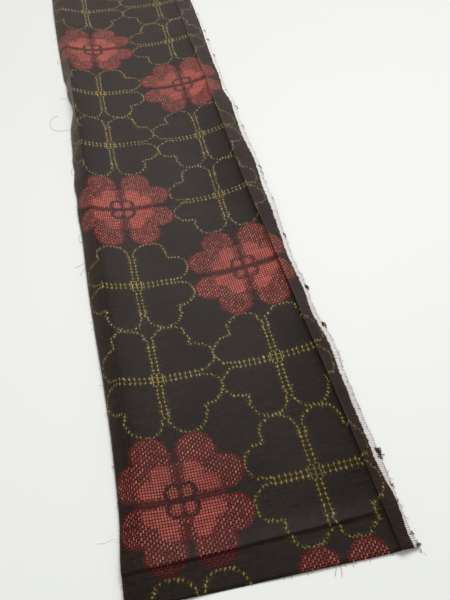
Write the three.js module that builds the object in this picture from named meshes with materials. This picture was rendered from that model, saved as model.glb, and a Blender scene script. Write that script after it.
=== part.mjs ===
// A length of kasuri tsumugi silk, lying on a table.
// It is half the width of a bolt: one long side is the woven selvedge, the other was cut.
// Both long sides keep the pressed folds of old seams, so each stands up as a low ridge with its
// seam allowance sloping down to the table, and the middle lies flat between them. A pressed hem
// fold runs across the near end.
import * as THREE from "three";

// Driving dimensions in millimetres. X runs across the cloth from its cut side to its selvedge,
// Y along it from the near end to the far end, and Z up from the table.
const LENGTH = 780;
const THICKNESS = 1.2;
const CUT_REACH = 42; // from the ridge on the cut side inwards to where the cloth lies flat
const SEAM_REACH = 52; // the same for the ridge beside the selvedge
const FLAP_BOW = 0.7; // how far a seam allowance bulges between its fold and its edge

// The near end was cut a little off the weft: its cut side lies this much further along than its selvedge.
const NEAR_SKEW = 6;
const SKEW_FADE = 150;
const HALF_WIDTH = 92;

// The hem fold across the near end: a low ridge, steep towards the end and gentle away from it.
const HEM = { at: 24, rise: 1.8, nearReach: 7, farReach: 24 };

// One row for each section along the length. at is the distance from the near end. The places across
// the cloth are the cut edge, the fold on the cut side, the seam fold and the selvedge; a lift is an
// edge's height over the table and a rise is a fold's.
const SECTIONS = [
  { at: 0, cutEdge: -92, cutLift: 2.0, cutFold: -77.5, cutRise: 2.6, seamFold: 79.5, seamRise: 2.2, selvedge: 91, selvedgeLift: 0.8 },
  { at: 60, cutEdge: -88.3, cutLift: 1.6, cutFold: -77, cutRise: 7, seamFold: 76.8, seamRise: 6.5, selvedge: 90, selvedgeLift: 0.8 },
  { at: 152, cutEdge: -87.6, cutLift: 0.8, cutFold: -76.5, cutRise: 9.5, seamFold: 73.4, seamRise: 9, selvedge: 89.5, selvedgeLift: 1.2 },
  { at: 244, cutEdge: -89, cutLift: 0.8, cutFold: -77, cutRise: 10, seamFold: 70.8, seamRise: 9.5, selvedge: 88, selvedgeLift: 2 },
  { at: 336, cutEdge: -88.5, cutLift: 0.8, cutFold: -76.7, cutRise: 9.5, seamFold: 67.3, seamRise: 11, selvedge: 89, selvedgeLift: 3 },
  { at: 428, cutEdge: -86.5, cutLift: 0.8, cutFold: -77, cutRise: 11, seamFold: 67.3, seamRise: 11, selvedge: 90, selvedgeLift: 2.4 },
  { at: 520, cutEdge: -85.5, cutLift: 0.6, cutFold: -78, cutRise: 10.5, seamFold: 68.6, seamRise: 8.5, selvedge: 90, selvedgeLift: 1.6 },
  { at: 612, cutEdge: -86.5, cutLift: 0.8, cutFold: -76, cutRise: 8, seamFold: 68.1, seamRise: 7, selvedge: 92, selvedgeLift: 1.2 },
  { at: 704, cutEdge: -86.3, cutLift: 1.2, cutFold: -75.3, cutRise: 7, seamFold: 69.3, seamRise: 5, selvedge: 93, selvedgeLift: 1.2 },
  { at: LENGTH, cutEdge: -86, cutLift: 1.2, cutFold: -75, cutRise: 6, seamFold: 69.5, seamRise: 4.5, selvedge: 93, selvedgeLift: 1.2 },
];

// Waves in the two long edges: where each is, how far along it reaches and how far out it goes.
const CUT_WAVES = [
  { at: 30, reach: 16, out: 1.2 },
  { at: 375, reach: 14, out: 1.6 },
  { at: 494, reach: 24, out: -4.6 },
  { at: 537, reach: 12, out: -1.4 },
];
const SELVEDGE_WAVES = [
  { at: 150, reach: 20, out: 2.2 },
  { at: 185, reach: 16, out: -1.8 },
  { at: 250, reach: 22, out: -1.8 },
  { at: 308, reach: 16, out: 1.2 },
  { at: 378, reach: 22, out: 1.4 },
  { at: 474, reach: 14, out: 2.2 },
  { at: 500, reach: 16, out: -1.4 },
];

// Strips of the net across the cloth, from the cut edge to the selvedge, with their columns.
const ACROSS = [
  { from: "cutEdge", to: "cutFold", columns: 4 },
  { from: "cutFold", to: "cutFlat", columns: 6 },
  { from: "cutFlat", to: "seamFlat", columns: 3 },
  { from: "seamFlat", to: "seamFold", columns: 6 },
  { from: "seamFold", to: "selvedge", columns: 5 },
];
// Stretches of the net along the cloth, closer together where the hem fold turns.
const ALONG = [
  { from: 0, to: HEM.at - HEM.nearReach, rows: 2 },
  { from: HEM.at - HEM.nearReach, to: HEM.at, rows: 3 },
  { from: HEM.at, to: HEM.at + HEM.farReach, rows: 4 },
  { from: HEM.at + HEM.farReach, to: LENGTH, rows: 60 },
];

const total = (list, key) => list.reduce((sum, item) => sum + item[key], 0);

// A smooth curve along the cloth through every column of the sections.
const columnNames = Object.keys(SECTIONS[0]).filter((name) => name !== "at");
const sectionCurve = new THREE.CubicInterpolant(
  SECTIONS.map((row) => row.at),
  SECTIONS.flatMap((row) => columnNames.map((name) => row[name])),
  columnNames.length,
  new Float64Array(columnNames.length),
);

function waves(table, at) {
  return table.reduce((sum, wave) => sum + wave.out * Math.exp(-(((at - wave.at) / wave.reach) ** 2)), 0);
}

// The section at a distance from the near end, with its edge waves and the ends of its flat middle.
function sectionAt(at) {
  const values = sectionCurve.evaluate(at);
  const section = Object.fromEntries(columnNames.map((name, i) => [name, values[i]]));
  section.cutEdge -= waves(CUT_WAVES, at);
  section.selvedge += waves(SELVEDGE_WAVES, at);
  section.cutFlat = section.cutFold + CUT_REACH;
  section.seamFlat = section.seamFold - SEAM_REACH;
  return section;
}

// A seam allowance's height: t runs from its free edge to its fold.
function flapHeight(lift, rise, t) {
  return THREE.MathUtils.lerp(lift, rise, t) + FLAP_BOW * Math.sin(Math.PI * t);
}

// The cloth's height over the table across one section, folds only.
function sectionHeight(section, x) {
  const { cutEdge, cutFold, cutFlat, seamFlat, seamFold, selvedge } = section;
  if (x < cutFold) return flapHeight(section.cutLift, section.cutRise, (x - cutEdge) / (cutFold - cutEdge));
  if (x < cutFlat) return section.cutRise * ((cutFlat - x) / CUT_REACH) ** 2;
  if (x <= seamFlat) return 0;
  if (x <= seamFold) return section.seamRise * ((x - seamFlat) / SEAM_REACH) ** 2;
  return flapHeight(section.selvedgeLift, section.seamRise, (selvedge - x) / (selvedge - seamFold));
}

function hemHeight(at) {
  const reach = at < HEM.at ? HEM.nearReach : HEM.farReach;
  return HEM.rise * Math.max(0, 1 - Math.abs(at - HEM.at) / reach) ** 2;
}

// The distance along the cloth of a place on the net, and the place across it, from row and column counts.
function spread(stretches, key, count) {
  let left = count;
  for (const stretch of stretches) {
    if (left <= stretch[key] || stretch === stretches.at(-1)) return { stretch, part: left / stretch[key] };
    left -= stretch[key];
  }
}

// The middle of the cloth's thickness at a column and row of the net, either of which may lie between two.
function clothMiddle(column, row) {
  const along = spread(ALONG, "rows", row);
  const at = THREE.MathUtils.lerp(along.stretch.from, along.stretch.to, along.part);
  const section = sectionAt(at);
  const across = spread(ACROSS, "columns", column);
  const x = THREE.MathUtils.lerp(section[across.stretch.from], section[across.stretch.to], across.part);
  const skew = (-NEAR_SKEW / 2) * (x / HALF_WIDTH) * Math.max(0, 1 - at / SKEW_FADE);
  const z = THICKNESS / 2 + sectionHeight(section, x) + hemHeight(at);
  return new THREE.Vector3(x, at + skew, z);
}

// The way out of the cloth's upper face there, from its slopes along the net.
function clothNormal(column, row) {
  const step = 0.02;
  const columns = total(ACROSS, "columns");
  const rows = total(ALONG, "rows");
  const slope = (axis, limit, value) => {
    const ends = [Math.max(0, value - step), Math.min(limit, value + step)];
    const [a, b] = ends.map((end) => (axis === "across" ? clothMiddle(end, row) : clothMiddle(column, end)));
    return b.sub(a);
  };
  return slope("across", columns, column).cross(slope("along", rows, row)).normalize();
}

// A flat box of the net's columns and rows, bent onto the folds, with half the thickness on each side.
function clothGeometry() {
  const columns = total(ACROSS, "columns");
  const rows = total(ALONG, "rows");
  const geometry = new THREE.BoxGeometry(columns, rows, THICKNESS, columns, rows, 1);
  geometry.translate(columns / 2, rows / 2, 0);
  const position = geometry.getAttribute("position");
  for (let i = 0; i < position.count; i += 1) {
    const column = position.getX(i);
    const row = position.getY(i);
    const point = clothMiddle(column, row).addScaledVector(clothNormal(column, row), position.getZ(i));
    position.setXYZ(i, point.x, point.y, point.z);
  }
  geometry.computeBoundingBox();
  const { min, max } = geometry.boundingBox;
  geometry.translate(-(min.x + max.x) / 2, -(min.y + max.y) / 2, -min.z); // the origin is under its middle
  geometry.computeVertexNormals();
  return geometry;
}

const silk = new THREE.MeshStandardMaterial({ color: 0x352e2b, roughness: 0.85, metalness: 0 });

const cloth = new THREE.Mesh(clothGeometry(), silk);
cloth.name = "cloth";

const length = new THREE.Group();
length.add(cloth);

export default length;
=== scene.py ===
# %% [markdown]
# # A length of kasuri tsumugi silk
#
# This lesson dresses one cut length of dark Japanese silk. Tsumugi is woven from hand-spun floss, so
# its threads are slubby and its shine is soft. The clover flowers are kasuri: the yarn was tied and
# dyed before weaving, so every edge in the pattern is a little feathered. The cloth was unpicked from
# a garment, and it still stands up along its old pressed seam folds.

# %% The frame
import math
import random

import bmesh
import bpy
import numpy as np
from mathutils import Matrix, Vector, noise


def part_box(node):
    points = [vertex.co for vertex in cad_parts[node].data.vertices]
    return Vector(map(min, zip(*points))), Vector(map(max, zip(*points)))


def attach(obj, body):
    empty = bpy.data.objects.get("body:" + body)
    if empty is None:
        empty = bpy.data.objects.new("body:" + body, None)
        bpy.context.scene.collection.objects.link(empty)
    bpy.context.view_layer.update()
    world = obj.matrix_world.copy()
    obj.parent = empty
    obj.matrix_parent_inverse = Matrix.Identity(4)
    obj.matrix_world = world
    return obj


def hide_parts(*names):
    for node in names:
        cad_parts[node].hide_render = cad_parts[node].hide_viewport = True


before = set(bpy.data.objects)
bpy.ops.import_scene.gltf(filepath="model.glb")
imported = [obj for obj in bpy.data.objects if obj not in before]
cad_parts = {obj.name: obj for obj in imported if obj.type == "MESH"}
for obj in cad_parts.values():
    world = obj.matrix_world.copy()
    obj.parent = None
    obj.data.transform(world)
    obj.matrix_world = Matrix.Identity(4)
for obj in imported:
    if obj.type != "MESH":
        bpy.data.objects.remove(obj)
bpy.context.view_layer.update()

MM = 0.001
cloth_low, cloth_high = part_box("cloth")
print("cloth solid, mm:", [round((b - a) / MM, 1) for a, b in zip(cloth_low, cloth_high)])

# %% [markdown]
# ## The folds, as a table of sections
#
# A cloth that lies still can be described by what it does across its width, every hand's breadth along
# its length. Each row below is one such section: where the cut edge, the two seam folds and the selvedge
# are, and how high they stand. They are the sections that shape the solid, with a few finer waves in the
# edges. A simulation would round off the pressed folds, which are the shape that matters.

# %% Sections along the cloth, in millimetres
SECTION_COLUMNS = (
    "at", "cut_edge", "cut_lift", "cut_fold", "cut_rise",
    "seam_fold", "seam_rise", "selvedge", "selvedge_lift",
)
SECTIONS = np.array([
    (0, -92, 2.0, -77.5, 2.6, 79.5, 2.2, 91, 0.8),
    (60, -88.3, 1.6, -77, 7, 76.8, 6.5, 90, 0.8),
    (152, -87.6, 0.8, -76.5, 9.5, 73.4, 9, 89.5, 1.2),
    (244, -89, 0.8, -77, 10, 70.8, 9.5, 88, 2),
    (336, -88.5, 0.8, -76.7, 9.5, 67.3, 11, 89, 3),
    (428, -86.5, 0.8, -77, 11, 67.3, 11, 90, 2.4),
    (520, -85.5, 0.6, -78, 10.5, 68.6, 8.5, 90, 1.6),
    (612, -86.5, 0.8, -76, 8, 68.1, 7, 92, 1.2),
    (704, -86.3, 1.2, -75.3, 7, 69.3, 5, 93, 1.2),
    (780, -86, 1.2, -75, 6, 69.5, 4.5, 93, 1.2),
])
LENGTH = SECTIONS[-1, 0]

# Waves in the two long edges: where each is, how far along it reaches and how far out it goes.
CUT_WAVES = [
    (30, 16, 1.2), (130, 60, -0.7), (300, 45, -0.6), (334, 16, 1.1), (375, 14, 1.6), (410, 9, 1.0),
    (494, 24, -5.0), (537, 12, -1.8), (690, 60, 0.7),
]
SELVEDGE_WAVES = [
    (40, 12, 0.7), (72, 22, 1.5), (112, 12, 0.6), (150, 20, 2.2), (185, 16, -1.8), (250, 22, -1.8),
    (308, 16, 1.2), (378, 22, 1.4), (474, 14, 2.2), (500, 16, -1.4),
]
print(len(SECTIONS), "sections over", LENGTH, "mm")

# %% [markdown]
# ## A smooth curve through the table
#
# Between two rows of the table the cloth changes gently, so each column is read as a smooth curve.
# The slope at a row comes from its two neighbours, as in the curves of a drawing program.

# %% Reading the table between its rows
def smooth_curve(places, values, at):
    """Values on a smooth curve through a table's points, for an array of places."""
    slopes = np.gradient(values, places)
    row = np.clip(np.searchsorted(places, at) - 1, 0, len(places) - 2)
    step = places[row + 1] - places[row]
    t = (at - places[row]) / step
    start = (1 + 2 * t) * (1 - t) ** 2 * values[row] + t * (1 - t) ** 2 * step * slopes[row]
    end = t * t * (3 - 2 * t) * values[row + 1] + t * t * (t - 1) * step * slopes[row + 1]
    return start + end


def waves(table, at):
    return sum(out * np.exp(-(((at - place) / reach) ** 2)) for place, reach, out in table)


def section_values(at):
    """The sections' measures by name, at an array of places along the cloth."""
    columns = zip(SECTION_COLUMNS[1:], SECTIONS.T[1:])
    values = {name: smooth_curve(SECTIONS[:, 0], column, at) for name, column in columns}
    values["cut_edge"] -= waves(CUT_WAVES, at)
    values["selvedge"] += waves(SELVEDGE_WAVES, at)
    return values


middle = section_values(np.array([LENGTH / 2]))
print("halfway along:", {name: value.round(1) for name, value in middle.items()})

# %% [markdown]
# ## Where the net's threads run
#
# The sheet starts as a plain grid, and the grid's columns are crowded together at the folds, because
# that is where the cloth turns. Its rows are crowded at the hem fold near the front. The last strip of
# columns is the white selvedge, so that the strip can take a material of its own.

# %% Rows and columns of the net
# How far inside each ridge the cloth comes down to the table.
CUT_REACH, SEAM_REACH = 42, 52
CROWDING = 1.6
# The hem fold: its place, its height, and how far it reaches towards the near end and away from it.
HEM_AT, HEM_RISE, HEM_NEAR, HEM_FAR = 22.8, 1.4, 2.0, 16
# The width of the white selvedge at places along the cloth.
BAND_WIDTHS = np.array([
    (0, 3.2), (12, 3.2), (22, 1.6), (32, 1.8), (43, 4.8), (62, 6.2), (90, 5.8), (116, 5.6), (135, 5.9),
    (165, 5.8), (200, 4.6), (228, 5.4), (260, 4.8), (318, 6.4), (358, 4.2), (410, 6.3), (460, 4.4),
    (482, 5.8), (510, 3.8), (560, 4.8), (600, 4.4), (640, 3.1), (704, 3.1), (780, 3.1),
])

# Each stretch along the cloth: where it starts and ends, and its rows.
STRETCHES = [
    (0, HEM_AT - HEM_NEAR, 9),
    (HEM_AT - HEM_NEAR, HEM_AT, 9),
    (HEM_AT, HEM_AT + HEM_FAR, 14),
    (HEM_AT + HEM_FAR, LENGTH, 336),
]
# Each strip across the cloth: its two sides, its columns, and which side they crowd to.
STRIPS = [
    ("cut_edge", "cut_fold", 14, "end"),
    ("cut_fold", "cut_flat", 22, "start"),
    ("cut_flat", "seam_flat", 14, "none"),
    ("seam_flat", "seam_fold", 26, "end"),
    ("seam_fold", "dark_edge", 16, "start"),
    ("dark_edge", "selvedge", 5, "none"),
]


def crowded(count, side):
    t = np.linspace(0, 1, count + 1)
    return {"none": t, "start": t**CROWDING, "end": 1 - (1 - t) ** CROWDING}[side]


rows_at = np.concatenate([np.linspace(a, b, rows + 1)[:-1] for a, b, rows in STRETCHES] + [[LENGTH]])
row_count = len(rows_at) - 1
strip_ends = np.cumsum([columns for _, _, columns, _ in STRIPS]).tolist()
cut_column, _, seam_column, fold_column, selvedge_column, column_count = strip_ends
print("net of", column_count, "columns by", row_count, "rows")

# %% [markdown]
# ## How high the cloth stands
#
# Inside each ridge the silk climbs in a hollow curve, and outside it the seam allowance falls to the
# table with a slight bulge. A pressed fold keeps a sharp lip, because the iron broke the threads there.
# The seam fold leans inwards, and the hem fold stops short of it. A little smooth noise keeps the flat
# middle from being quite flat, and makes the cut edge ragged.

# %% Heights over the table
THICKNESS = 0.4
FLAP_BOW = 0.7
CUT_LIP, SEAM_LIP, SEAM_FADE = 0.8, 2.5, 1.3
LIP_INSIDE, LIP_OUTSIDE = 1.6, 5.0


def flap_height(lift, rise, t):
    """A seam allowance's height: t runs from its free edge to its fold."""
    return lift + (rise - lift) * t + FLAP_BOW * np.sin(np.pi * t)


def lip(rise, outwards):
    """A pressed fold's sharp lip: a steep wall on its inside and a slope on its outside."""
    return rise * np.exp(np.where(outwards < 0, outwards / LIP_INSIDE, -outwards / LIP_OUTSIDE))


def fold_heights(x, s):
    """Heights across one row from its folds alone. s holds that row's measures."""
    cut_t = (x - s["cut_edge"]) / (s["cut_fold"] - s["cut_edge"])
    seam_t = (s["selvedge"] - x) / (s["selvedge"] - s["seam_fold"])
    cut_climb = np.clip((s["cut_flat"] - x) / CUT_REACH, 0, 1)
    seam_climb = np.clip((x - s["seam_flat"]) / SEAM_REACH, 0, 1)
    cut_rise = s["cut_rise"] - CUT_LIP / 2
    seam_rise = s["seam_rise"] - s["seam_lip"] / 2
    inside = cut_rise * cut_climb**2 + seam_rise * seam_climb**2
    height = np.where(x < s["cut_fold"], flap_height(s["cut_lift"], cut_rise, cut_t), inside)
    height = np.where(x > s["seam_fold"], flap_height(s["selvedge_lift"], seam_rise, seam_t), height)
    return height + lip(CUT_LIP, s["cut_fold"] - x) + lip(s["seam_lip"], x - s["seam_fold"])


print("lips, mm:", CUT_LIP, SEAM_LIP)

# %% The leaning seam fold and the slanted hem
TUCK, TUCK_TURN, TUCK_REACH = 0.8, 0.5, 3.0
HEM_SLANT, HEM_FADE, HEM_STOP = 0.03, 60, 8
NEAR_SKEW, SKEW_FADE, HALF_WIDTH = 6, 150, 92


def tucked(x, s):
    """How far each place moves out under the seam fold, which leans inwards."""
    inwards = np.maximum(s["seam_fold"] - x, 0)
    return TUCK * s["seam_lip"] * (1 - np.exp(-inwards / TUCK_TURN)) * np.exp(-inwards / TUCK_REACH)


def hem_shift(x, at):
    """How far the hem's rows move along the cloth. It was pressed a little off the weft."""
    near = at / HEM_AT if at < HEM_AT else max(0, 1 - (at - HEM_AT) / HEM_FADE)
    return HEM_SLANT * x * near


def hem_height(x, at, seam_fold):
    """The hem fold's height. It fades out before the seam fold, which was pressed after it."""
    reach = HEM_NEAR if at < HEM_AT else HEM_FAR
    rise = HEM_RISE * max(0, 1 - abs(at - HEM_AT) / reach) ** 2
    return rise * np.clip((seam_fold - x) / HEM_STOP, 0, 1)


print("hem slant, mm:", round(2 * HEM_SLANT * HALF_WIDTH, 1))

# %% Unevenness along the cloth
# Each unevenness: the size of its waves and their height.
RAGGED, RIM_WAVES, BAND_WAVES = (1.7, 0.35), (6, 0.9), (4, 0.8)
LIP_WEAR, RIPPLE = (40, 0.5), (55, 0.8)
RIPPLE_LIFT, RIPPLE_MOST = 0.45, 1


def soft_noise(size, height, *place):
    return height * noise.noise(Vector(place) / size)


def noise_along(uneven, lane):
    """Smooth noise for every row of the net. Each lane has waves of its own."""
    return np.array([soft_noise(*uneven, at, lane, 0) for at in rows_at])


print("cut edge ragged by, mm:", abs(noise_along(RAGGED, 5)).max().round(2))

# %% [markdown]
# ## The sheet's points, and the same points on the flat cloth
#
# Every point of the net gets two places: one in space, on the folds, and one on the cloth as it lay
# flat on the loom. The flat place is measured along the bent surface, so the pattern bends over the
# ridges as the cloth does. The seam allowances are a little full: more cloth lies in them than their
# slope alone would take. The two columns of flowers are pulled a little off their places, because the
# cloth went out of square in use.

# %% Flower columns, their pulls and the full seam allowances
REPEAT = 92
LEFT_FLOWERS, RIGHT_FLOWERS, FIRST_FLOWERS = -48, 44, 60
# How far the flowers were pulled from their places on the loom, at places along the cloth: across and
# along for the left column, then for the right one.
PULLS = np.array([
    (60, 0.7, -1.5, -0.1, -1.1), (152, 0.3, -1.5, -0.2, -1.5), (244, -1.7, -2.8, -1.3, -2.2),
    (336, -1.0, -3.4, -2.1, -3.0), (428, -0.9, -1.8, -1.1, -4.9), (520, -0.4, -2.3, -0.9, -3.6),
    (612, 0.2, -4.9, 0.5, -3.7), (704, 1.1, -4.8, 1.2, -2.7),
])

# The selvedge's seam allowance is fullest near its end.
CUT_FULLNESS, FULLNESS, END_FULLNESS, END_AT, END_REACH = 0.24, 0.1, 0.22, 55, 70


def strip_fullness(at):
    return FULLNESS + END_FULLNESS * math.exp(-(((at - END_AT) / END_REACH) ** 2))


def flower_pulls(at):
    at = np.clip(at, PULLS[0, 0], PULLS[-1, 0])
    return [smooth_curve(PULLS[:, 0], column, np.array([at]))[0] for column in PULLS.T[1:]]


print("flowers pulled by up to", abs(PULLS[:, 1:]).max(), "mm")

# %% Measures of every row
measures = section_values(rows_at)
measures["cut_flat"] = measures["cut_fold"] + CUT_REACH
measures["seam_flat"] = measures["seam_fold"] - SEAM_REACH
measures["dark_edge"] = measures["selvedge"] - smooth_curve(*BAND_WIDTHS.T, rows_at)
measures["cut_edge"] += noise_along(RAGGED, 5)
measures["selvedge"] += noise_along(RIM_WAVES, 8)
measures["dark_edge"] += noise_along(BAND_WAVES, 11)
measures["seam_lip"] = (SEAM_LIP - SEAM_FADE * rows_at / LENGTH) * (1 + noise_along(LIP_WEAR, 14))
print("white band, mm:", (measures["selvedge"] - measures["dark_edge"])[[0, -1]].round(1))

# %% Points in space and on the flat cloth
points = np.zeros((row_count + 1, column_count + 1, 3))
flat = np.zeros((row_count + 1, column_count + 1, 2))
for row, at in enumerate(rows_at):
    section = {name: values[row] for name, values in measures.items()}
    strips = [
        section[a] + (section[b] - section[a]) * crowded(columns, side)[:-1]
        for a, b, columns, side in STRIPS
    ]
    x = np.concatenate(strips + [[section["selvedge"]]])
    skew = -NEAR_SKEW / 2 * (x / HALF_WIDTH) * max(0, 1 - at / SKEW_FADE)
    along = at + hem_shift(x, at)
    ripple = np.array([RIPPLE_LIFT + soft_noise(*RIPPLE, place, at, 1) for place in x])
    z = THICKNESS / 2 + fold_heights(x, section) + hem_height(x, at, section["seam_fold"])
    z = z + np.clip(ripple, 0, RIPPLE_MOST)
    x = x + tucked(x, section)
    points[row] = np.stack([x, along + skew, z], 1)
    along_surface = np.concatenate([[0], np.cumsum(np.hypot(np.diff(x), np.diff(z)))])
    across = along_surface - np.interp(0, x[:seam_column], along_surface[:seam_column])
    across[fold_column:] += (across[fold_column:] - across[fold_column]) * strip_fullness(at)
    across[:cut_column] += (across[:cut_column] - across[cut_column]) * CUT_FULLNESS
    pulls = flower_pulls(at)
    pull_across = np.interp(across, (LEFT_FLOWERS, RIGHT_FLOWERS), pulls[0::2])
    pull_along = np.interp(across, (LEFT_FLOWERS, RIGHT_FLOWERS), pulls[1::2])
    flat_place = [across - pull_across - LEFT_FLOWERS, along - pull_along - FIRST_FLOWERS]
    flat[row] = np.stack(flat_place, 1) / REPEAT
print("flat width", round(np.ptp(flat[:, :, 0], 1).mean() * REPEAT, 1), "mm, fullness and all")

# %% Into the row's frame
net_low, net_high = points.min((0, 1)), points.max((0, 1))
to_row = np.array([
    (cloth_low[0] + cloth_high[0]) / 2 / MM - (net_low[0] + net_high[0]) / 2,
    (cloth_low[1] + cloth_high[1]) / 2 / MM - (net_low[1] + net_high[1]) / 2,
    cloth_low[2] / MM,
])
print("moved to the row's frame by", to_row.round(2), "mm")

# %% [markdown]
# ## The camera
#
# The photograph was taken from above the near end, looking down along the cloth. The flowers repeat in
# a square, so the camera's place and turn can be worked out from where their centres fall in the frame.

# %% The camera at the photograph's angle
CAMERA_AT = (-60.83, -68.25, 386.5)
CAMERA_RIGHT = Vector((0.97153, -0.23515, 0.02874))
CAMERA_DOWN = Vector((-0.17089, -0.77968, -0.60240))


def new_piece(name, data, materials=()):
    piece = bpy.data.objects.new(name, data)
    bpy.context.collection.objects.link(piece)
    for material in materials:
        data.materials.append(material)
    return piece


camera_data = bpy.data.cameras.new("camera")
camera_data.lens = 35.4
camera_data.sensor_width = 36
camera_data.clip_start = 0.01
camera = new_piece("camera", camera_data)
turn = Matrix((CAMERA_RIGHT, -CAMERA_DOWN, CAMERA_RIGHT.cross(-CAMERA_DOWN))).transposed()
camera.matrix_world = Matrix.Translation(Vector(CAMERA_AT + to_row) * MM) @ turn.to_4x4()
bpy.context.scene.camera = camera
print("camera", round(CAMERA_AT[2]), "mm over the table")

# %% [markdown]
# ## The sheet
#
# A grid operator makes the net, and each of its points is moved to its place on the folds. The flat
# places become a UV map in flower repeats, which the materials read. Solidify then gives the sheet its
# real thickness, so that the cut edges show.

# %% The sheet of silk
net = bmesh.new()
flat_map = net.loops.layers.uv.new("flat_cloth")
band_map = net.loops.layers.uv.new("selvedge_band")
bmesh.ops.create_grid(net, x_segments=column_count, y_segments=row_count, size=0.5)
place_of = {}
for vertex in net.verts:
    column = round((vertex.co.x + 0.5) * column_count)
    row = round((vertex.co.y + 0.5) * row_count)
    place_of[vertex] = (row, column)
    vertex.co = Vector(points[row, column] + to_row) * MM
for face in net.faces:
    face.smooth = True
    face.material_index = int(min(place_of[v][1] for v in face.verts) >= selvedge_column)
    for loop in face.loops:
        row, column = place_of[loop.vert]
        loop[flat_map].uv = flat[row, column]
        loop[band_map].uv = ((column - selvedge_column) / STRIPS[-1][2], rows_at[row] / LENGTH)
sheet_mesh = bpy.data.meshes.new("silk_sheet")
net.to_mesh(sheet_mesh)
net.free()
sheet = new_piece("silk_sheet", sheet_mesh)
thickness = sheet.modifiers.new("thickness", "SOLIDIFY")
thickness.thickness = THICKNESS * MM
thickness.offset = 0
print("sheet of", len(sheet_mesh.polygons), "faces")

# %% [markdown]
# ## Arithmetic on the cloth
#
# The pattern is drawn by arithmetic on the flat place of each point. In Blender that is a chain of Math
# nodes. The small class below lets the chains be written as plain sums: each sign adds one node.

# %% Sums that become nodes
class Reading:
    """A number that changes over the cloth. Arithmetic on it adds Math nodes to its node tree."""

    def __init__(self, tree, socket):
        self.tree = tree
        self.socket = socket

    def plug(self, slot, value):
        if isinstance(value, Reading):
            self.tree.links.new(value.socket, slot)
        else:
            slot.default_value = value

    def math(self, operation, *values):
        node = self.tree.nodes.new("ShaderNodeMath")
        node.operation = operation
        for slot, value in zip(node.inputs, values):
            self.plug(slot, value)
        return Reading(self.tree, node.outputs[0])

    def __rsub__(self, other):
        return self.math("SUBTRACT", other, self)

    def feed(self, node, slot):
        self.tree.links.new(self.socket, node.inputs[slot])

    def snapped(self, pitch):
        """The nearest multiple of pitch."""
        return self.math("SNAP", self + pitch / 2, pitch)

    def root(self):
        return self.math("SQRT", self.most(0.0))

    def length(self, other):
        return self.math("SQRT", self * self + other * other)

    def from_nearest(self, pitch):
        """How far this is from the nearest multiple of pitch."""
        return abs((self + pitch / 2).wrapped(pitch) - pitch / 2)

    def below(self, limit, soft):
        """1 where this is under limit and 0 where it is over, with a soft edge."""
        node = self.tree.nodes.new("ShaderNodeMapRange")
        node.interpolation_type = "SMOOTHSTEP"
        for slot, value in zip(node.inputs, (self, limit - soft, limit + soft, 1.0, 0.0)):
            self.plug(slot, value)
        return Reading(self.tree, node.outputs[0])

    def above(self, limit, soft):
        return 1.0 - self.below(limit, soft)


def node_sign(operation):
    return lambda self, *other: self.math(operation, self, *other)


for sign, operation in {
    "__add__": "ADD", "__radd__": "ADD", "__sub__": "SUBTRACT", "__mul__": "MULTIPLY", "__rmul__": "MULTIPLY",
    "__truediv__": "DIVIDE", "__abs__": "ABSOLUTE", "floor": "FLOOR", "sign": "SIGN",
    "wrapped": "FLOORED_MODULO", "least": "MINIMUM", "most": "MAXIMUM",
}.items():
    setattr(Reading, sign, node_sign(operation))


def chosen(first, second, amount):
    """The first reading where amount is 0 and the second where it is 1."""
    return first + (second - first) * amount


def centred(reading):
    """How far a reading is from the middle of its step of 1."""
    return abs(reading.wrapped(1.0) - 0.5)


# %% Colours by readings
def linear(red, green, blue):
    """A colour given as it looks on screen, from 0 to 255, as the linear values a shader needs."""
    parts = [value / 255 for value in (red, green, blue)]
    return tuple(c / 12.92 if c <= 0.04045 else ((c + 0.055) / 1.055) ** 2.4 for c in parts)


def colour_mix(amount, under, over):
    """Two colours mixed by a reading. A colour is a plain tuple or a socket."""
    node = amount.tree.nodes.new("ShaderNodeMix")
    node.data_type = "RGBA"
    amount.feed(node, "Factor")
    for slot, colour in ((node.inputs[6], under), (node.inputs[7], over)):
        if isinstance(colour, tuple):
            slot.default_value = (*colour, 1)
        else:
            amount.tree.links.new(colour, slot)
    return node.outputs[2]


def shaded(colour, amount):
    """A colour made lighter or darker by a reading round 1."""
    node = amount.tree.nodes.new("ShaderNodeVectorMath")
    node.operation = "SCALE"
    amount.tree.links.new(colour, node.inputs[0])
    amount.feed(node, "Scale")
    return node.outputs[0]


print("middle grey:", round(linear(128, 128, 128)[0], 3))

# %% Noise, chance and node groups
def noise_reading(across, along, detail=2.0):
    """Smooth noise round 0.5 at a place, with waves of about 1."""
    tree = across.tree
    place = tree.nodes.new("ShaderNodeCombineXYZ")
    for slot, value in zip(place.inputs, (across, along)):
        across.plug(slot, value)
    node = tree.nodes.new("ShaderNodeTexNoise")
    node.inputs["Scale"].default_value = 1.0
    node.inputs["Detail"].default_value = detail
    tree.links.new(place.outputs[0], node.inputs["Vector"])
    return Reading(tree, node.outputs[0])


def thread_chance(thread, seed):
    """A chance number from 0 to 1 for each thread."""
    node = thread.tree.nodes.new("ShaderNodeTexWhiteNoise")
    node.noise_dimensions = "1D"
    (thread + seed).feed(node, "W")
    return Reading(thread.tree, node.outputs["Value"])


def node_group(name, inputs, outputs):
    """A new node group, with readings of its inputs by name, and its output node."""
    tree = bpy.data.node_groups.new(name, "ShaderNodeTree")
    for socket in inputs:
        tree.interface.new_socket(socket, in_out="INPUT", socket_type="NodeSocketFloat")
    for socket, kind in outputs:
        tree.interface.new_socket(socket, in_out="OUTPUT", socket_type=kind)
    start = tree.nodes.new("NodeGroupInput")
    readings = {socket: Reading(tree, start.outputs[socket]) for socket in inputs}
    return tree, readings, tree.nodes.new("NodeGroupOutput")


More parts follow.
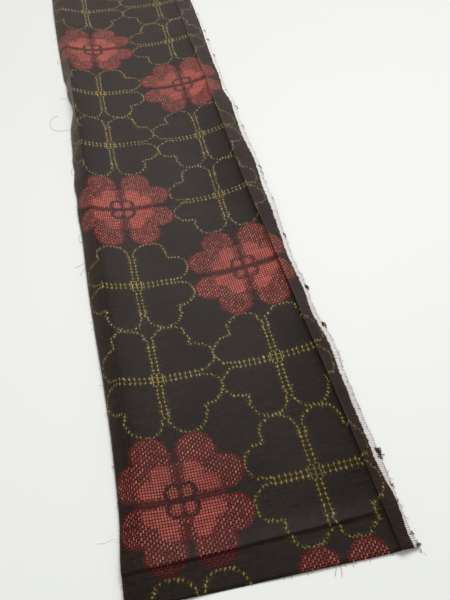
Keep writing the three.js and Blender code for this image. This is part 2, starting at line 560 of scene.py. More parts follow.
# %% [markdown]
# ## Plain weave
#
# Tsumugi is a plain weave: each thread goes over one and under the next. Both the silk and its selvedge
# are woven so, which makes the weave a node group. It gives the height of the threads for a bump, and
# a shade for each point, with the slubs of hand-spun floss as long thick places in single weft threads.
# Part of the shade is painted shade: lighter on each thread's rounded top, darker between threads.

# %% The plain weave group
THREAD = REPEAT / 192
CROWN, ROUNDNESS = 0.8, 3.2
# How many waves each unevenness has for a thread, across the cloth and along it.
SLUBS, THIN_PLACES, STREAKS = (0.014, 0.73), (0.03, 0.61), (0.03, 0.3)
MOTTLE, PATCHES = (0.14, 0.14), (0.01, 0.016)
THIN_APART = 40.0


def thread_top(place):
    """The rounded height of a thread, from a place counted in threads."""
    off = place.wrapped(1.0) - 0.5
    return off * off * -ROUNDNESS + CROWN


def weave_unevenness(across, along, weft):
    """The slubs and thin places of single wefts, then streaks, mottle and patches round 0."""
    slub = noise_reading(across * SLUBS[0], weft * SLUBS[1], 1.0).above(0.58, 0.1)
    thin_along = weft * THIN_PLACES[1] + THIN_APART
    thin = noise_reading(across * THIN_PLACES[0], thin_along, 1.0).above(0.6, 0.08)
    streak = noise_reading(across * STREAKS[0], along * STREAKS[1], 4.0) - 0.5
    mottle = noise_reading(across * MOTTLE[0], along * MOTTLE[1], 3.0) - 0.5
    patch = noise_reading(across * PATCHES[0], along * PATCHES[1]) - 0.5
    return slub - thin * 1.2, streak, mottle, patch


def plain_weave_group():
    outputs = [("Height", "NodeSocketFloat"), ("Shade", "NodeSocketFloat")]
    tree, given, end = node_group("plain weave", ["Across", "Along", "Slubs"], outputs)
    across, along = given["Across"] / THREAD, given["Along"] / THREAD
    warp, weft = across.floor(), along.floor()
    over = (warp + weft).wrapped(2.0)
    threads = over * thread_top(across) + (1.0 - over) * thread_top(along)
    slub, streak, mottle, patch = weave_unevenness(across, along, weft)
    slub = slub * given["Slubs"]
    height = threads + slub * 0.6 + streak * given["Slubs"]
    uneven = slub * 0.25 + (streak * 0.7 + mottle * 1.1 + patch * 0.9) * given["Slubs"]
    # threads * 0.22 is painted shade: lighter on each thread's crown and darker between the threads.
    shade = 0.86 + threads * 0.22 + uneven + (thread_chance(weft, 11.0) - 0.5) * 0.16
    height.feed(end, "Height")
    shade.feed(end, "Shade")
    return tree


plain_weave = plain_weave_group()
print("weave of", round(10 / THREAD), "threads to the centimetre")

# %% [markdown]
# ## The clover flowers
#
# Both kinds of flower have the same outline: four heart-shaped petals, drawn by arcs that are mirrored
# into the eight parts of a square. Folding the place on the cloth into one of those parts keeps the sums
# short. In kasuri both the warp and the weft are tied and dyed before weaving, and no two threads meet
# exactly where they should. So each thread gets a slip of its own, which feathers every edge.

# %% Flower measures, in millimetres
DOT_PITCH = REPEAT / 24
LOBE_ACROSS, LOBE_OUT, LOBE_RADIUS = 16, 32, 14
NOTCH = 29.8
SQUAT = 1.13
ARC_PITCH = 0.75 * DOT_PITCH
# The reach of slips across the cloth and along it.
THREAD_SLIPS, BUNDLE_SLIPS = (1.3, 1.1), (1.8, 1.8)
THREAD_SEEDS, BUNDLE_SEEDS = (3.0, 7.0), (17.0, 19.0)
DRIFT, DRIFT_WAVES, DRIFTS_APART = 2.2, 0.28, 70.0
EDGE = 0.3
# The softness of a hard switch, and of a step between whole numbers.
SWITCH, STEP = 0.001, 0.1
print("flowers", 2 * (LOBE_OUT + LOBE_RADIUS), "mm across")


# %% Folding a place into its flower
def slips(across, along, pitch, offset, seeds, reaches):
    """How far the weft at a place slipped across the cloth, and the warp along it, by steps of pitch."""
    warp, weft = ((place / pitch + offset).floor() for place in (across, along))
    chances = [thread_chance(yarn, seed) - 0.5 for yarn, seed in zip((weft, warp), seeds)]
    return [chance * reach for chance, reach in zip(chances, reaches)]


def slow_drift(across, along):
    """How far the pattern has drifted across the cloth and along it, by many threads together."""
    across, along = across * DRIFT_WAVES, along * DRIFT_WAVES
    drift_across = (noise_reading(across, along, 1.0) - 0.5) * DRIFT
    drift_along = (noise_reading(across + DRIFTS_APART, along, 1.0) - 0.5) * DRIFT
    return drift_across, drift_along


def flower_place(across, along):
    """The place from its flower's centre, then masks of red flowers, of yellow ones and of the second
    column. The cloth beyond the two columns is plain."""
    column = (across / REPEAT + 0.5).floor()
    line = (along / REPEAT + 0.5).floor()
    flowered = abs(column - 0.5).below(1.0, STEP)
    red = (column + line).wrapped(3.0).below(0.5, STEP) * flowered
    return across - column * REPEAT, along - line * REPEAT, red, flowered - red, column.above(0.5, STEP)


def square_fold(x, y):
    """How far a place is across and along, the lesser and greater of these, and 1 if along is greater."""
    wide, high = abs(x), abs(y)
    return wide, high, wide.least(high), wide.most(high), (high - wide).above(0.0, SWITCH)


def petal_fold(x, y):
    """A place folded into half a petal: its distance from the middle line and from the flower's centre,
    where the lobes part, and 1 in the petals along the cloth. Those across it are narrower."""
    wide, high = abs(x), abs(y)
    upright = (high * SQUAT - wide).above(0.0, SWITCH)
    parting = NOTCH + (NOTCH / SQUAT - NOTCH) * upright
    return chosen(high * SQUAT, wide, upright), chosen(wide, high, upright), parting, upright


def petal_outline(near, far):
    """Distance outside the petals' round lobes, negative inside. near and far are the folded place."""
    return (near - LOBE_ACROSS).length(far - LOBE_OUT) - LOBE_RADIUS


# %% [markdown]
# ## The yellow flowers
#
# A yellow flower is a line of small crosses: double lines for the arms, arcs for the petals, and a small
# window of three upright bars and two level ones at the centre. Each cross is a dyed tick of warp and a
# dyed dash of weft. Where they meet the mark is bright and slanted, and where only one shows the cloth is
# olive, over a faint fill. Crosses keep an even step along the cloth or across it, whichever way their arc
# runs. The yarn of one step was tied as a bundle, so a whole step can slip, and the arcs are lumpy.

# %% Places of the yellow crosses
UPRIGHT_PITCH = 0.9 * DOT_PITCH
WINDOW = 1.3 * DOT_PITCH
ARM_END = LOBE_OUT - 1.5
FAR_OFF = 50.0


def arm_cross(near, far, upright):
    """From the nearest cross of the flower's arms, in its folded place."""
    beyond = far.above(ARM_END, STEP).most(far.below(WINDOW, STEP))
    pitch = DOT_PITCH + (UPRIGHT_PITCH - DOT_PITCH) * upright
    return near - DOT_PITCH / 2 + beyond * FAR_OFF, far.wrapped(pitch) - pitch / 2


def arc_cross(near, far, parting):
    """From the nearest cross of the petals' arcs, in the flower's folded place."""
    side, out = near - LOBE_ACROSS, far - LOBE_OUT
    steep = (abs(side) - abs(out)).above(0.0, SWITCH)
    far_step, near_step = far.snapped(ARC_PITCH), near.snapped(ARC_PITCH)
    bulge = (LOBE_RADIUS**2 - (far_step - LOBE_OUT) * (far_step - LOBE_OUT)).root()
    crown = (LOBE_RADIUS**2 - (near_step - LOBE_ACROSS) * (near_step - LOBE_ACROSS)).root()
    near_cross = chosen(near_step, side.sign() * bulge + LOBE_ACROSS, steep)
    far_cross = chosen(out.sign() * crown + LOBE_OUT, far_step, steep)
    return near - near_cross + (far - parting).below(0.0, STEP) * FAR_OFF, far - far_cross


# %% Yellow ticks, dashes and their crossings
TICK_WIDE, TICK_LONG = 0.44, 2.0
DASH_WIDE, DASH_LONG = 0.4, 2.1
MARK_WIDE, MARK_LONG, MARK_SLANT = 0.4, 0.85, 0.3
COMB_MIDDLE, COMB_LONG = 0.6, 2.6
ARM_FILL, ARC_FILL = 2.9, 1.3
BAR_WIDE, BAR_SOFT = 0.4, 0.25


def yellow_cross(near_off, far_off, upright, weft_slip, warp_slip):
    """Masks of a cross's single dyed threads and of the slanted mark where they meet."""
    off_x, off_y = chosen(far_off, near_off, upright), chosen(near_off, far_off, upright)
    tick = abs(off_x).below(TICK_WIDE, 0.15) * abs(off_y + warp_slip).below(TICK_LONG, 0.35)
    dash = abs(off_y).below(DASH_WIDE, 0.15) * abs(off_x + weft_slip).below(DASH_LONG, 0.5)
    mark = abs(off_x - off_y * MARK_SLANT).below(MARK_WIDE, 0.15) * abs(off_y).below(MARK_LONG, 0.25)
    return tick.most(dash * 0.85), mark


def yellow_flower(x, y, threads, bundles):
    """Masks of the fill, of single dyed threads, of the bright marks and of the window at the centre."""
    wide, high, near, far, upright = square_fold(x, y)
    arm_single, arm_mark = yellow_cross(*arm_cross(near, far, upright), upright, *threads)
    arm_fill = near.below(ARM_FILL, 0.8) * far.below(ARM_END, 1.0)

    near, far, parting, upright = petal_fold(x + bundles[0], y + bundles[1])
    arc_single, arc_mark = yellow_cross(*arc_cross(near, far, parting), upright, *threads)
    arc_fill = abs(petal_outline(near, far)).below(ARC_FILL, 0.8) * (far - parting).above(0.0, 0.5)

    arm_reach = wide.above(WINDOW, 0.3) * wide.below(ARM_END, 0.3)
    comb = centred(wide / DOT_PITCH).below(TICK_WIDE / DOT_PITCH, 0.04) * arm_reach
    comb = comb * abs(y - COMB_MIDDLE + threads[1] * 1.4).below(COMB_LONG, 0.4)
    upright_bars = wide.from_nearest(DOT_PITCH).below(BAR_WIDE, BAR_SOFT) * wide.below(WINDOW, EDGE)
    upright_bars = upright_bars * (high + threads[1]).below(WINDOW, EDGE)
    level_bars = abs(high - DOT_PITCH / 2).below(BAR_WIDE - 0.05, BAR_SOFT)
    level_bars = level_bars * (wide + threads[0]).below(WINDOW, EDGE)
    single = arm_single.most(arc_single).most(comb * 0.5)
    bright = arm_mark.most(arc_mark).most(comb * 0.15)
    return arm_fill.most(arc_fill), single, bright, upright_bars.most(level_bars * 0.6)


print("arcs of crosses", round(ARC_PITCH, 2), "mm apart")

# %% [markdown]
# ## The red flowers
#
# A red flower is filled. Its petals are dark red weft with staggered pink ticks of warp, and each has a
# brighter, smaller heart of fine checks towards the centre. A cross of dark dots divides the petals,
# and a dark ring of four loops holds four small checked squares. In the column beside the selvedge the
# cross took more of the dark dye and the ring less.

# %% Red petals, checks and ring
CHECK_PITCH = DOT_PITCH / 2
BRICK_ACROSS, BRICK_ALONG, BRICK_SLANT = DOT_PITCH / 2, 3.2, 0.3
LEVEL_CROSS, UPRIGHT_CROSS = 2.0, 1.1
CROSS_LINE, CROSS_STEP = 1.3, DOT_PITCH / 2
PETAL_RIM, TICKED_RIM, RIM_SOFT = 0.2, -1.1, 0.9
HEART_WIDE, HEART_HIGH, HEART_SOFT = 0.6, 0.55, 1.4
HEART_ACROSS, HEART_ALONG = 5.0, 3.4
RING_ACROSS, RING_ALONG, RING_RADIUS, RING_HALF = 4.5, 5.3, 5.6, 1.1
# The darks between the dots of the cross and of the ring, and what the second column has more and less.
CROSS_TINT, SECOND_TINT, RING_TINT, RING_DOTS, SECOND_FAINT = 0.18, 0.34, 0.35, 0.5, 0.4


def petals(x, y, rim, soft):
    """A mask of the whole flower, up to a rim round its outline."""
    near, far, parting, _ = petal_fold(x, y)
    return petal_outline(near, far).least(far - parting).below(rim, soft)


def dotted(reading):
    """A mask of dots in step with the cross."""
    return centred(reading / CROSS_STEP).below(0.34, 0.1)


def red_parts(x, y, second):
    """Masks of the cross, of the darks in it and in the ring of four loops, and of the checked parts."""
    wide, high, near, far, upright = square_fold(x, y)
    cross = (near - (UPRIGHT_CROSS - LEVEL_CROSS) * upright).below(LEVEL_CROSS, EDGE)
    cross_darks = cross * abs(near - CROSS_LINE).below(0.7, 0.2) * dotted(far)
    cross_darks = cross_darks.most(cross * (CROSS_TINT + second * SECOND_TINT))
    loop = (wide - RING_ACROSS).length(high - RING_ALONG) - RING_RADIUS
    ring_dots = dotted(wide).most(dotted(high))
    ring = abs(loop).below(RING_HALF, EDGE) * (RING_TINT + ring_dots * RING_DOTS)
    ring = ring * (1.0 - second * SECOND_FAINT)
    heart = petals(x / HEART_WIDE, y / HEART_HIGH, 0.0, HEART_SOFT)
    heart = heart * wide.above(HEART_ACROSS, EDGE) * high.above(HEART_ALONG, EDGE)
    squares = loop.below(-RING_HALF - 1.3, EDGE) * wide.least(high).above(CROSS_LINE, EDGE) * 0.8
    checked = (heart * loop.above(RING_HALF + 0.3, EDGE)).most(squares)
    return cross, cross_darks.most(ring), checked


def red_threads(x, y):
    """Masks of the staggered pink ticks, of the red dashes under them and of the fine checks."""
    column = x / BRICK_ACROSS
    line = y / BRICK_ALONG + column.floor().wrapped(2.0) * 0.5
    lean = (line.wrapped(1.0) - 0.5) * BRICK_SLANT
    ticks = centred(column - lean).below(0.19, 0.09) * centred(line).below(0.27, 0.09)
    dyed = thread_chance(column.floor() * 0.37 + line.floor() * 5.13, 2.0)
    dashes = centred(y / BRICK_ALONG * 2.0).below(0.3, 0.12)
    check = centred(x / CHECK_PITCH).below(0.31, 0.06) * centred(y / CHECK_PITCH).below(0.32, 0.06)
    return ticks * (0.25 + dyed * 1.15), dashes, check


print("red checks", round(CHECK_PITCH, 2), "mm apart")

# %% [markdown]
# ## The silk
#
# The ground is a brown black. The flowers are laid over it, then the weave's shade, which is partly painted
# shade between the threads. Painted shade darkens the dyes towards the near end, and the turned hem is
# rubbed on the cut side.
# Beside the selvedge a little red weft shows. Silk has a soft sheen at a low angle and no sharp shine,
# so the material is rough with a little sheen.

# %% The silk's colours
GROUND = linear(34, 26, 22)
YELLOW_FILL = linear(38, 28, 0)
OLIVE = linear(92, 78, 8)
YELLOW = linear(166, 152, 122)
WINDOW_YELLOW = linear(174, 154, 90)
RED_DARK = linear(50, 18, 16)
RED_PETAL = linear(104, 29, 28)
PINK_TICK = linear(194, 138, 119)
RED_GAP = linear(108, 30, 25)
RED_CHECK = linear(184, 103, 91)
CROSS_RED = linear(94, 33, 31)
RING_DARK = linear(46, 22, 14)
STRIP_RED = linear(66, 40, 38)
# Painted shade darkens the dyes up to twice this distance past the first flowers.
NEAR_SHADE_REACH = 60
# The hem is rubbed up to its fold.
RUBBED_TO = HEM_AT - FIRST_FLOWERS + 1.5
# How much of each mark shows: at least, and how much more where the dye took well.
OLIVE_SHOWS, MARK_SHOWS, WINDOW_SHOWS = (0.22, 0.55), (0.34, 0.95), (0.25, 0.8)
TICK_SHOWS, DARK_SHOWS = (0.25, 0.7), (0.5, 1.0)
# How much shows under the painted shade at the near end, and how much more further on.
MARK_IN_SHADE, WINDOW_IN_SHADE, PETAL_IN_SHADE = (0.64, 0.36), (0.4, 0.6), (0.74, 0.26)
TICKS_RUBBED, PETALS_RUBBED = 0.7, 0.4
FEATHERED, DRIFTED, SLIPPED = 2.4, 0.6, 0.8
print("ground:", [round(part, 4) for part in GROUND])


# %% Woven materials
BUMP_STRENGTH, BUMP_HEIGHT = 0.35, 0.12


def map_readings(tree, name):
    uv = tree.nodes.new("ShaderNodeUVMap")
    uv.uv_map = name
    parts = tree.nodes.new("ShaderNodeSeparateXYZ")
    tree.links.new(uv.outputs[0], parts.inputs[0])
    return Reading(tree, parts.outputs[0]), Reading(tree, parts.outputs[1])


def new_material(name):
    """A material, its node tree and its shader."""
    material = bpy.data.materials.new(name)
    material.use_nodes = True
    return material, material.node_tree, material.node_tree.nodes["Principled BSDF"]


def set_values(node, **values):
    """Sets a node's own values by their names, with a low line for each space."""
    for name, value in values.items():
        node.inputs[name.replace("_", " ")].default_value = value


def woven_material(name, slubs):
    """A material with the weave's bump, its tree and shader, the place on the cloth and the shade."""
    material, tree, shader = new_material(name)
    across, along = (reading * REPEAT for reading in map_readings(tree, "flat_cloth"))
    weave = tree.nodes.new("ShaderNodeGroup")
    weave.node_tree = plain_weave
    across.feed(weave, "Across")
    along.feed(weave, "Along")
    set_values(weave, Slubs=slubs)
    bump = tree.nodes.new("ShaderNodeBump")
    set_values(bump, Strength=BUMP_STRENGTH, Distance=BUMP_HEIGHT * MM)
    tree.links.new(weave.outputs["Height"], bump.inputs["Height"])
    tree.links.new(bump.outputs[0], shader.inputs["Normal"])
    return material, tree, shader, (across, along), Reading(tree, weave.outputs["Shade"])


# %% Layers of dye
def shown(reading, amounts):
    return amounts[0] + reading * amounts[1]


def layered(colour, *layers):
    """A colour with others laid over it, each by its mask."""
    for mask, over in layers:
        colour = colour_mix(mask, colour, over)
    return colour


def yellow_layer(masks, yellow, strength, past_painted_shade):
    fill, single, bright, window = (mask * yellow for mask in masks)
    return layered(
        GROUND,
        (fill, YELLOW_FILL),
        (single * shown(strength, OLIVE_SHOWS), OLIVE),
        # The bright marks and the window are darker towards the near end: painted shade.
        (bright * shown(strength, MARK_SHOWS) * shown(past_painted_shade, MARK_IN_SHADE), YELLOW),
        (window * shown(strength, WINDOW_SHOWS) * shown(past_painted_shade, WINDOW_IN_SHADE), WINDOW_YELLOW),
    )


def red_layer(threads, parts, ticked, strength):
    """The red flowers' colour before painted shade and the rubbed hem darken it. ticked is where their pink
    ticks show.
    """
    ticks, dashes, check = threads
    cross, darks, checked = parts
    return layered(
        RED_DARK,
        (dashes, RED_PETAL),
        (ticks * ticked * shown(strength, TICK_SHOWS), PINK_TICK),
        (cross, CROSS_RED),
        (darks * shown(strength, DARK_SHOWS), RING_DARK),
        (checked, colour_mix(check, RED_GAP, RED_CHECK)),
    )


# %% The silk material
def silk_material():
    material, tree, shader, (across, along), shade = woven_material("kasuri_silk", 1.0)
    threads = slips(across, along, THREAD, 0.0, THREAD_SEEDS, THREAD_SLIPS)
    bundles = slips(across, along, ARC_PITCH, 0.5, BUNDLE_SEEDS, BUNDLE_SLIPS)
    drift_x, drift_y = slow_drift(across, along)
    x, y, red, yellow, second = flower_place(across, along)
    strength = (noise_reading(across * 0.5, along * 0.4) - 0.5) * 2.0 + 0.5
    # A mask for the painted shade at the near end: 0 in the shade there, 1 further along.
    past_painted_shade = along.above(NEAR_SHADE_REACH, NEAR_SHADE_REACH)
    rubbed = (along - (across + LEFT_FLOWERS) * HEM_SLANT).below(RUBBED_TO, 1.0)
    rubbed = rubbed * across.below(REPEAT / 2, 4.0)

    masks = yellow_flower(x + drift_x, y + drift_y, threads, bundles)
    colour = yellow_layer(masks, yellow, strength, past_painted_shade)
    slipped_x = x + drift_x * DRIFTED + threads[0] * SLIPPED
    slipped_y = y + drift_y * DRIFTED + threads[1] * SLIPPED
    ticked = petals(x, y + threads[1] * FEATHERED, TICKED_RIM, RIM_SOFT) * red
    ticked = ticked * (1.0 - rubbed * TICKS_RUBBED)
    parts = red_parts(slipped_x, slipped_y, second)
    petal = red_layer(red_threads(x, y), parts, ticked, strength)
    # Painted shade darkens the petals towards the near end, and the rubbed hem dulls them too.
    petal = shaded(petal, shown(past_painted_shade, PETAL_IN_SHADE) * (1.0 - rubbed * PETALS_RUBBED))
    body = petals(x + threads[0] * FEATHERED, y, PETAL_RIM, RIM_SOFT)
    colour = colour_mix(body * red, colour, petal)
    band, _ = map_readings(tree, "selvedge_band")
    red_weft = noise_reading(across * 0.06, along * 1.1).above(0.5, 0.12)
    colour = colour_mix(red_weft * band.above(-1.2, 1.0) * 0.35, colour, STRIP_RED)

    tree.links.new(shaded(colour, shade), shader.inputs["Base Color"])
    set_values(shader, Roughness=0.38, Specular_IOR_Level=0.08)
    set_values(shader, Sheen_Weight=0.2, Sheen_Roughness=0.4, Sheen_Tint=(1.0, 0.64, 0.57, 1))
    return material


silk = silk_material()
print("silk material of", len(silk.node_tree.nodes), "nodes")

# %% [markdown]
# ## The selvedge
#
# The selvedge is a strip of undyed warp, crossed by the weft where it turns back. It is nearly white,
# with fine cross lines. The dark weft reaches unevenly into it from the cloth, and its outer rim is
# specked where the turning wefts show, so a second UV map counts from the dark edge to the rim. Further
# along the lines and the specks fade.

# %% The selvedge material
SELVEDGE_WHITE = linear(217, 216, 211)
SELVEDGE_PINK = linear(160, 128, 128)
RIM_SPECKS = linear(112, 74, 74)
CROSS_LINES = 1.35


def selvedge_material():
    material, tree, shader, (across, along), shade = woven_material("pale_selvedge", 0.15)
    band, _ = map_readings(tree, "selvedge_band")
    lines = centred(along / CROSS_LINES).below(0.22, 0.18)
    patch = noise_reading(across * 0.02, along * 0.02).above(0.5, 0.1)
    uneven = noise_reading(across * 0.1, along * 0.35, 3.0)
    specks = noise_reading(across * 0.4, along * 0.9).above(0.56, 0.04)
    further = along.above(2 * REPEAT, REPEAT)
    lines = lines * (1.0 - further * 0.55)
    colour = layered(
        SELVEDGE_WHITE,
        (lines * (0.35 + patch * 0.5), SELVEDGE_PINK),
        (specks * band.above(0.75, 0.2) * (0.7 - further * 0.5), RIM_SPECKS),
        ((band - uneven * 0.6).below(-0.08, 0.1) * lines, RIM_SPECKS),
        ((band - uneven * 0.5).below(-0.14, 0.05), GROUND),
    )
    tree.links.new(shaded(colour, shade), shader.inputs["Base Color"])
    set_values(shader, Roughness=0.75, Specular_IOR_Level=0.25)
    return material


sheet_mesh.materials.append(silk)
sheet_mesh.materials.append(selvedge_material())
print("sheet's materials:", [material.name for material in sheet_mesh.materials])

# %% [markdown]
# ## Loose ends
#
# A cut edge frays: short ends of weft stand out along the cut side and the near end, and a few long ones
# curl onto the table. On the selvedge the dark wefts have been snipped to small tufts. Each end is a
# thin curve with a round section, which starts inside the cloth's edge and settles on the table. All
# ends of one kind become one mesh.

# %% Yarn from a list of paths
YARN_RADIUS, FINE_RADIUS, TUFT_RADIUS, HAIR_RADIUS, PALE_RADIUS = 0.1, 0.085, 0.24, 0.08, 0.06
TIP = 0.5
TABLE_CLEAR = 0.15
PATH_STEP, PATH_SHAKE = 0.7, 0.12
SHORTEST = 0.5
chance = random.Random(23)


def yarn(name, paths, material, radius):
    """One mesh of thin round yarns along paths, each a list of places in millimetres."""
    curve = bpy.data.curves.new(name, "CURVE")
    curve.dimensions = "3D"
    curve.bevel_depth = radius * MM
    curve.bevel_resolution = 1
    curve.use_fill_caps = True
    for path in paths:
        spline = curve.splines.new("POLY")
        spline.points.add(len(path) - 1)
        for number, (point, place) in enumerate(zip(spline.points, path)):
            point.co = (*(Vector(np.array(place) + to_row) * MM), 1)
            point.radius = 1 if number < len(path) - 1 else TIP
        spline.use_smooth = True
    maker = new_piece(name, curve)
    mesh = bpy.data.meshes.new_from_object(maker.evaluated_get(bpy.context.evaluated_depsgraph_get()))
    bpy.data.objects.remove(maker)
    mesh.name = name
    mesh.materials.clear()
    return new_piece(name, mesh, [material])


def end_path(start, heading, length, curl, lift=0.0):
    """A loose end from a place on an edge: it turns a little at each step and settles on the table."""
    steps = max(3, round(length / PATH_STEP))
    x, y, z = start
    turn = chance.uniform(-curl, curl)
    path = [(x, y, z)]
    for step in range(1, steps + 1):
        heading += turn / steps + chance.uniform(-PATH_SHAKE, PATH_SHAKE)
        x += math.cos(heading) * length / steps
        y += math.sin(heading) * length / steps
        part = step / steps
        z = start[2] + (TABLE_CLEAR - start[2]) * part + lift * math.sin(math.pi * part)
        path.append((x, y, max(z, TABLE_CLEAR)))
    return path


def short_end(start, heading, spread, rate, curl=1.2):
    """A loose end with a heading and a length by chance. A higher rate makes shorter ends."""
    heading += chance.uniform(-spread, spread)
    return end_path(start, heading, SHORTEST + chance.expovariate(rate), curl)


# %% Yarn along listed places
def smooth_path(places, count):
    places = np.array(places, float)
    steps = np.arange(len(places), dtype=float)
    at = np.linspace(0, steps[-1], count)
    return list(zip(*[smooth_curve(steps, column, at) for column in places.T]))


def edge_place(at, column):
    """The place of one of the net's columns at a distance along the cloth."""
    return np.array([np.interp(at, rows_at, points[:, column, axis]) for axis in range(3)])


def rooted(places):
    """A loose end's places, with the first one, given across and along, set on the cloth there."""
    x, y = places[0]
    row = points[np.argmin(abs(rows_at - y))]
    between = row[cut_column:fold_column]
    beyond = row[: cut_column + 1] if x < 0 else row[fold_column:]
    strip = between if between[0, 0] < x < between[-1, 0] else beyond
    return [(x, y, np.interp(x, strip[:, 0], strip[:, 2])), *places[1:]]


print("cut edge halfway along:", edge_place(LENGTH / 2, 0).round(1))

# %% [markdown]
# ## Yarn finish
#
# Hand-spun yarn is thick and thin, and the dye took unevenly. A noise on the yarn's own place varies
# its colour and its roughness.

# %% Yarn materials
FLOSS = 900


def yarn_material(name, thin, thick):
    material, tree, shader = new_material(name)
    place = tree.nodes.new("ShaderNodeTexCoord")
    floss = tree.nodes.new("ShaderNodeTexNoise")
    set_values(floss, Scale=FLOSS)
    tree.links.new(place.outputs["Object"], floss.inputs["Vector"])
    amount = Reading(tree, floss.outputs[0])
    tree.links.new(colour_mix(amount, thin, thick), shader.inputs["Base Color"])
    (0.6 + amount * 0.3).feed(shader, "Roughness")
    return material


dark_yarn = yarn_material("dark_yarn", linear(46, 34, 30), linear(24, 18, 16))
pale_yarn = yarn_material("pale_yarn", linear(214, 206, 202), linear(170, 140, 142))
red_yarn = yarn_material("red_yarn", linear(150, 60, 56), linear(96, 30, 30))
print("yarns:", [material.name for material in (dark_yarn, pale_yarn, red_yarn)])

# %% [markdown]
# ## Ends along the cut side and the near end
#
# Most ends are only a millimetre or two. The few long ones are listed one by one, as they lie. Under the red
# flower at the near end the ends are red.

# %% Frayed ends of the cut edges
FRAYED_SIDE, FRAYED_END = 150, 60
EAST, WEST, SOUTH, NORTH = 0.0, math.pi, -math.pi / 2, math.pi / 2

LONG_ENDS = [
    [(-83.5, 462), (-86.5, 461.5, 1), (-92, 461.7, 0.2), (-98, 462.6, 0.2), (-103.4, 466, 0.2),
     (-105.6, 472.1, 0.2), (-105, 480, 0.2), (-101.5, 486, 0.2), (-96, 488.3, 0.2)],
    [(-84, 517), (-88, 517.8, 0.4), (-92.5, 518.8, 0.2)],
    [(-87.5, 388), (-90.6, 393, 0.3), (-90, 399, 0.3), (-87.5, 402, 0.8)],
    [(-88, 299), (-91, 302.5, 0.3), (-91.2, 308, 0.3), (-88.5, 312, 1)],
    [(-88, 276.5), (-91.5, 275.6, 0.4), (-97.7, 272.9, 0.2)],
    [(-88.2, 272), (-91.5, 268.6, 0.4), (-94.6, 263.5, 0.2)],
    [(-85.5, 586), (-89.5, 588, 0.3), (-90, 593, 0.3), (-87.6, 596, 1)],
]

frayed = [smooth_path(rooted(places), 6 * len(places)) for places in LONG_ENDS]
for _ in range(FRAYED_SIDE):
    start = edge_place(chance.uniform(0, LENGTH), 0) + (0.5, 0, 0)
    frayed.append(short_end(start, WEST, 1.1, 0.9))
for row, inside, heading, rate in ((0, 0.5, SOUTH, 1.6), (row_count, -0.5, NORTH, 1.1)):
    for _ in range(FRAYED_END):
        column = chance.randrange(2, column_count - 4)
        start = points[row, column] + (chance.uniform(-1, 1), inside, 0)
        frayed.append(short_end(start, heading, 0.9, rate))
dark_ends = yarn("dark_ends", frayed, dark_yarn, FINE_RADIUS)
print(len(frayed), "dark ends")

# %% Red ends under the near flower
RED_ENDS, RED_COLUMN, RED_REACH = 24, 60, (-18, 26)

red_ends = [smooth_path(rooted([(37.6, 0.5), (36.6, -3, 0.3), (34.5, -6.8, 0.2)]), 12)]
for _ in range(RED_ENDS):
    start = edge_place(0, RED_COLUMN) + (chance.uniform(*RED_REACH), 0.4, 0)
    red_ends.append(short_end(start, SOUTH, 0.7, 1.2, 1.0))
red_weft_ends = yarn("red_weft_ends", red_ends, red_yarn, YARN_RADIUS)
print(len(red_ends), "red ends")

# %% [markdown]
# ## Tufts on the selvedge
#
# The dark tufts sit on the white band where a weft was tied in and cut off, and further along small
# specks of the same yarn dot the rim. The rim is edged with tiny pale loops, where each weft turns back.
# Near the front red hairs stand out of it too. Two fine pale ends lie on the table by the near corners.

# %% Dark tufts and specks
# Each tuft: its distance along the cloth, its threads, and how far they reach.
TUFTS = [
    (1, 8, 3.5), (8, 4, 2.5), (28, 4, 2.5), (38.5, 8, 3.2), (59.3, 8, 4), (63.2, 44, 5), (96, 3, 2),
    (118, 4, 2.5), (171, 18, 5), (210, 40, 3.5), (226, 3, 2), (270.6, 8, 3.5), (296, 3, 2.5),
    (318.3, 8, 4), (345, 3, 2.5), (355, 9, 3.5), (364, 10, 4), (398, 4, 2.5), (429.4, 8, 3.5),
    (464.6, 9, 3.5), (495.4, 8, 3.5), (531, 5, 3), (570, 5, 3), (604, 9, 3.5), (625, 7, 3.5),
    (668, 5, 3), (716, 6, 3.5), (752, 5, 3),
]
SPECKS, SPECKS_FROM = 110, 250
ABOVE = 0.25
FAN, TUFT_CURL, RIM_CURL = 1.5, 3.0, 2.0

tufts = []
for at, threads, reach in TUFTS:
    root, rim = edge_place(at, selvedge_column + 3), edge_place(at, column_count)
    for _ in range(threads):
        start = root + (rim - root) * chance.uniform(0, 1)
        start = start + (0, chance.uniform(-0.4, 0.4) * reach, ABOVE)
        heading = EAST + chance.uniform(-FAN, FAN)
        length = reach * chance.uniform(0.5, 1.0)
        tufts.append(end_path(start, heading, length, TUFT_CURL, chance.uniform(0.3, 1.2)))
for _ in range(SPECKS):
    start = edge_place(chance.uniform(SPECKS_FROM, LENGTH), selvedge_column + 4) + (0, 0, ABOVE)
    heading = EAST + chance.uniform(-FAN, FAN)
    tufts.append(end_path(start, heading, chance.uniform(0.8, 1.8), TUFT_CURL, 0.2))
selvedge_tufts = yarn("selvedge_tufts", tufts, dark_yarn, TUFT_RADIUS)
print(len(tufts), "threads in tufts and specks")

# %% Loops and hairs of the rim, and the pale ends
LOOPS = 620
HAIRS, HAIRS_TO, LONGEST_HAIR = 260, 360, 3.5

rim_loops = []
for _ in range(LOOPS):
    start = edge_place(chance.uniform(0, LENGTH), column_count) + (-0.3, 0, 0)
    heading = EAST + chance.uniform(-1.0, 1.0)
    rim_loops.append(end_path(start, heading, chance.uniform(0.5, 1.3), RIM_CURL, 0.15))
selvedge_loops = yarn("selvedge_loops", rim_loops, pale_yarn, YARN_RADIUS)

hairs = []
for _ in range(HAIRS):
    start = edge_place(chance.uniform(0, HAIRS_TO), column_count) + (-0.4, 0, 0)
    length = min(0.6 + chance.expovariate(1.0), LONGEST_HAIR)
    hairs.append(end_path(start, EAST + chance.uniform(-1.3, 1.3), length, RIM_CURL, 0.4))
rim_hairs = yarn("rim_hairs", hairs, red_yarn, HAIR_RADIUS)

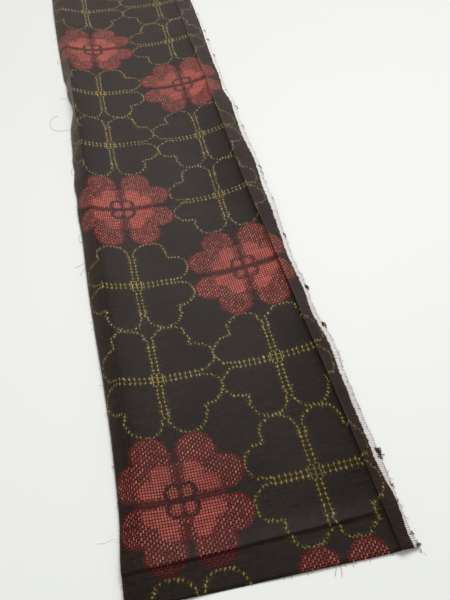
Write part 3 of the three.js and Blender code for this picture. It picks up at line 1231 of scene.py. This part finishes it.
PALE_ENDS = [
    [(-88.4, 44), (-95, 45.4, 0.3), (-99, 44.4, 0.2), (-104.4, 45.2, 0.2)],
    [(88.5, -1), (91.5, -4.5, 0.3), (94.2, -7, 0.2), (94.6, -9.2, 0.2)],
]
pale_paths = [smooth_path(rooted(places), 24) for places in PALE_ENDS]
pale_ends = yarn("pale_ends", pale_paths, pale_yarn, PALE_RADIUS)
loose_pieces = [dark_ends, red_weft_ends, selvedge_tufts, selvedge_loops, rim_hairs, pale_ends]
print({piece.name: len(piece.data.polygons) for piece in loose_pieces})

# %% [markdown]
# ## The table and the light
#
# The cloth lies on a white table in soft daylight that comes from the far right. One large lamp does
# that, and a pale sky fills the shadows.

# %% The white table
FLOOR_HALF = 6
# The table is painted darker towards the far end, where the lamp's light is stronger: painted shade.
FLOOR_NEAR, FLOOR_FAR = (0.818, 0.818, 0.79), (0.625, 0.625, 0.605)
FLOOR_MIDDLE, FLOOR_FADE = 0.05, 0.45

floor_net = bmesh.new()
bmesh.ops.create_grid(floor_net, x_segments=1, y_segments=1, size=FLOOR_HALF)
floor_mesh = bpy.data.meshes.new("floor")
floor_net.to_mesh(floor_mesh)
floor_net.free()
floor_material, tree, shader = new_material("white_table")
place = tree.nodes.new("ShaderNodeTexCoord")
parts = tree.nodes.new("ShaderNodeSeparateXYZ")
tree.links.new(place.outputs["Object"], parts.inputs[0])
# A mask of the painted shade on the table: 0 near, 1 far.
further = Reading(tree, parts.outputs[1]).above(FLOOR_MIDDLE, FLOOR_FADE)
tree.links.new(colour_mix(further, FLOOR_NEAR, FLOOR_FAR), shader.inputs["Base Color"])
set_values(shader, Roughness=0.5, Specular_IOR_Level=0.2)
floor = new_piece("floor", floor_mesh, [floor_material])
print("table", 2 * FLOOR_HALF, "m wide")

# %% Lamp and sky
lamp_data = bpy.data.lights.new("window", "AREA")
lamp_data.shape = "RECTANGLE"
lamp_data.size = 1.75
lamp_data.size_y = 1.3
lamp_data.energy = 50
lamp = new_piece("window", lamp_data)
lamp.location = (0.53, 1.25, 1.8)
lamp.rotation_mode = "QUATERNION"
lamp.rotation_quaternion = (-lamp.location).to_track_quat("-Z", "Y")

world = bpy.data.worlds.new("sky")
bpy.context.scene.world = world
world.use_nodes = True
set_values(world.node_tree.nodes["Background"], Color=(0.97, 1.0, 0.99, 1), Strength=0.5)
bpy.context.scene.view_settings.view_transform = "Standard"
print("lamp", round(lamp.location.length, 2), "m from the cloth")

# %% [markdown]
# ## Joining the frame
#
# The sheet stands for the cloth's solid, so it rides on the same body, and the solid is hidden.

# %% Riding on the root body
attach(sheet, "root")
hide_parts("cloth")
for piece in loose_pieces:
    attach(piece, "root")
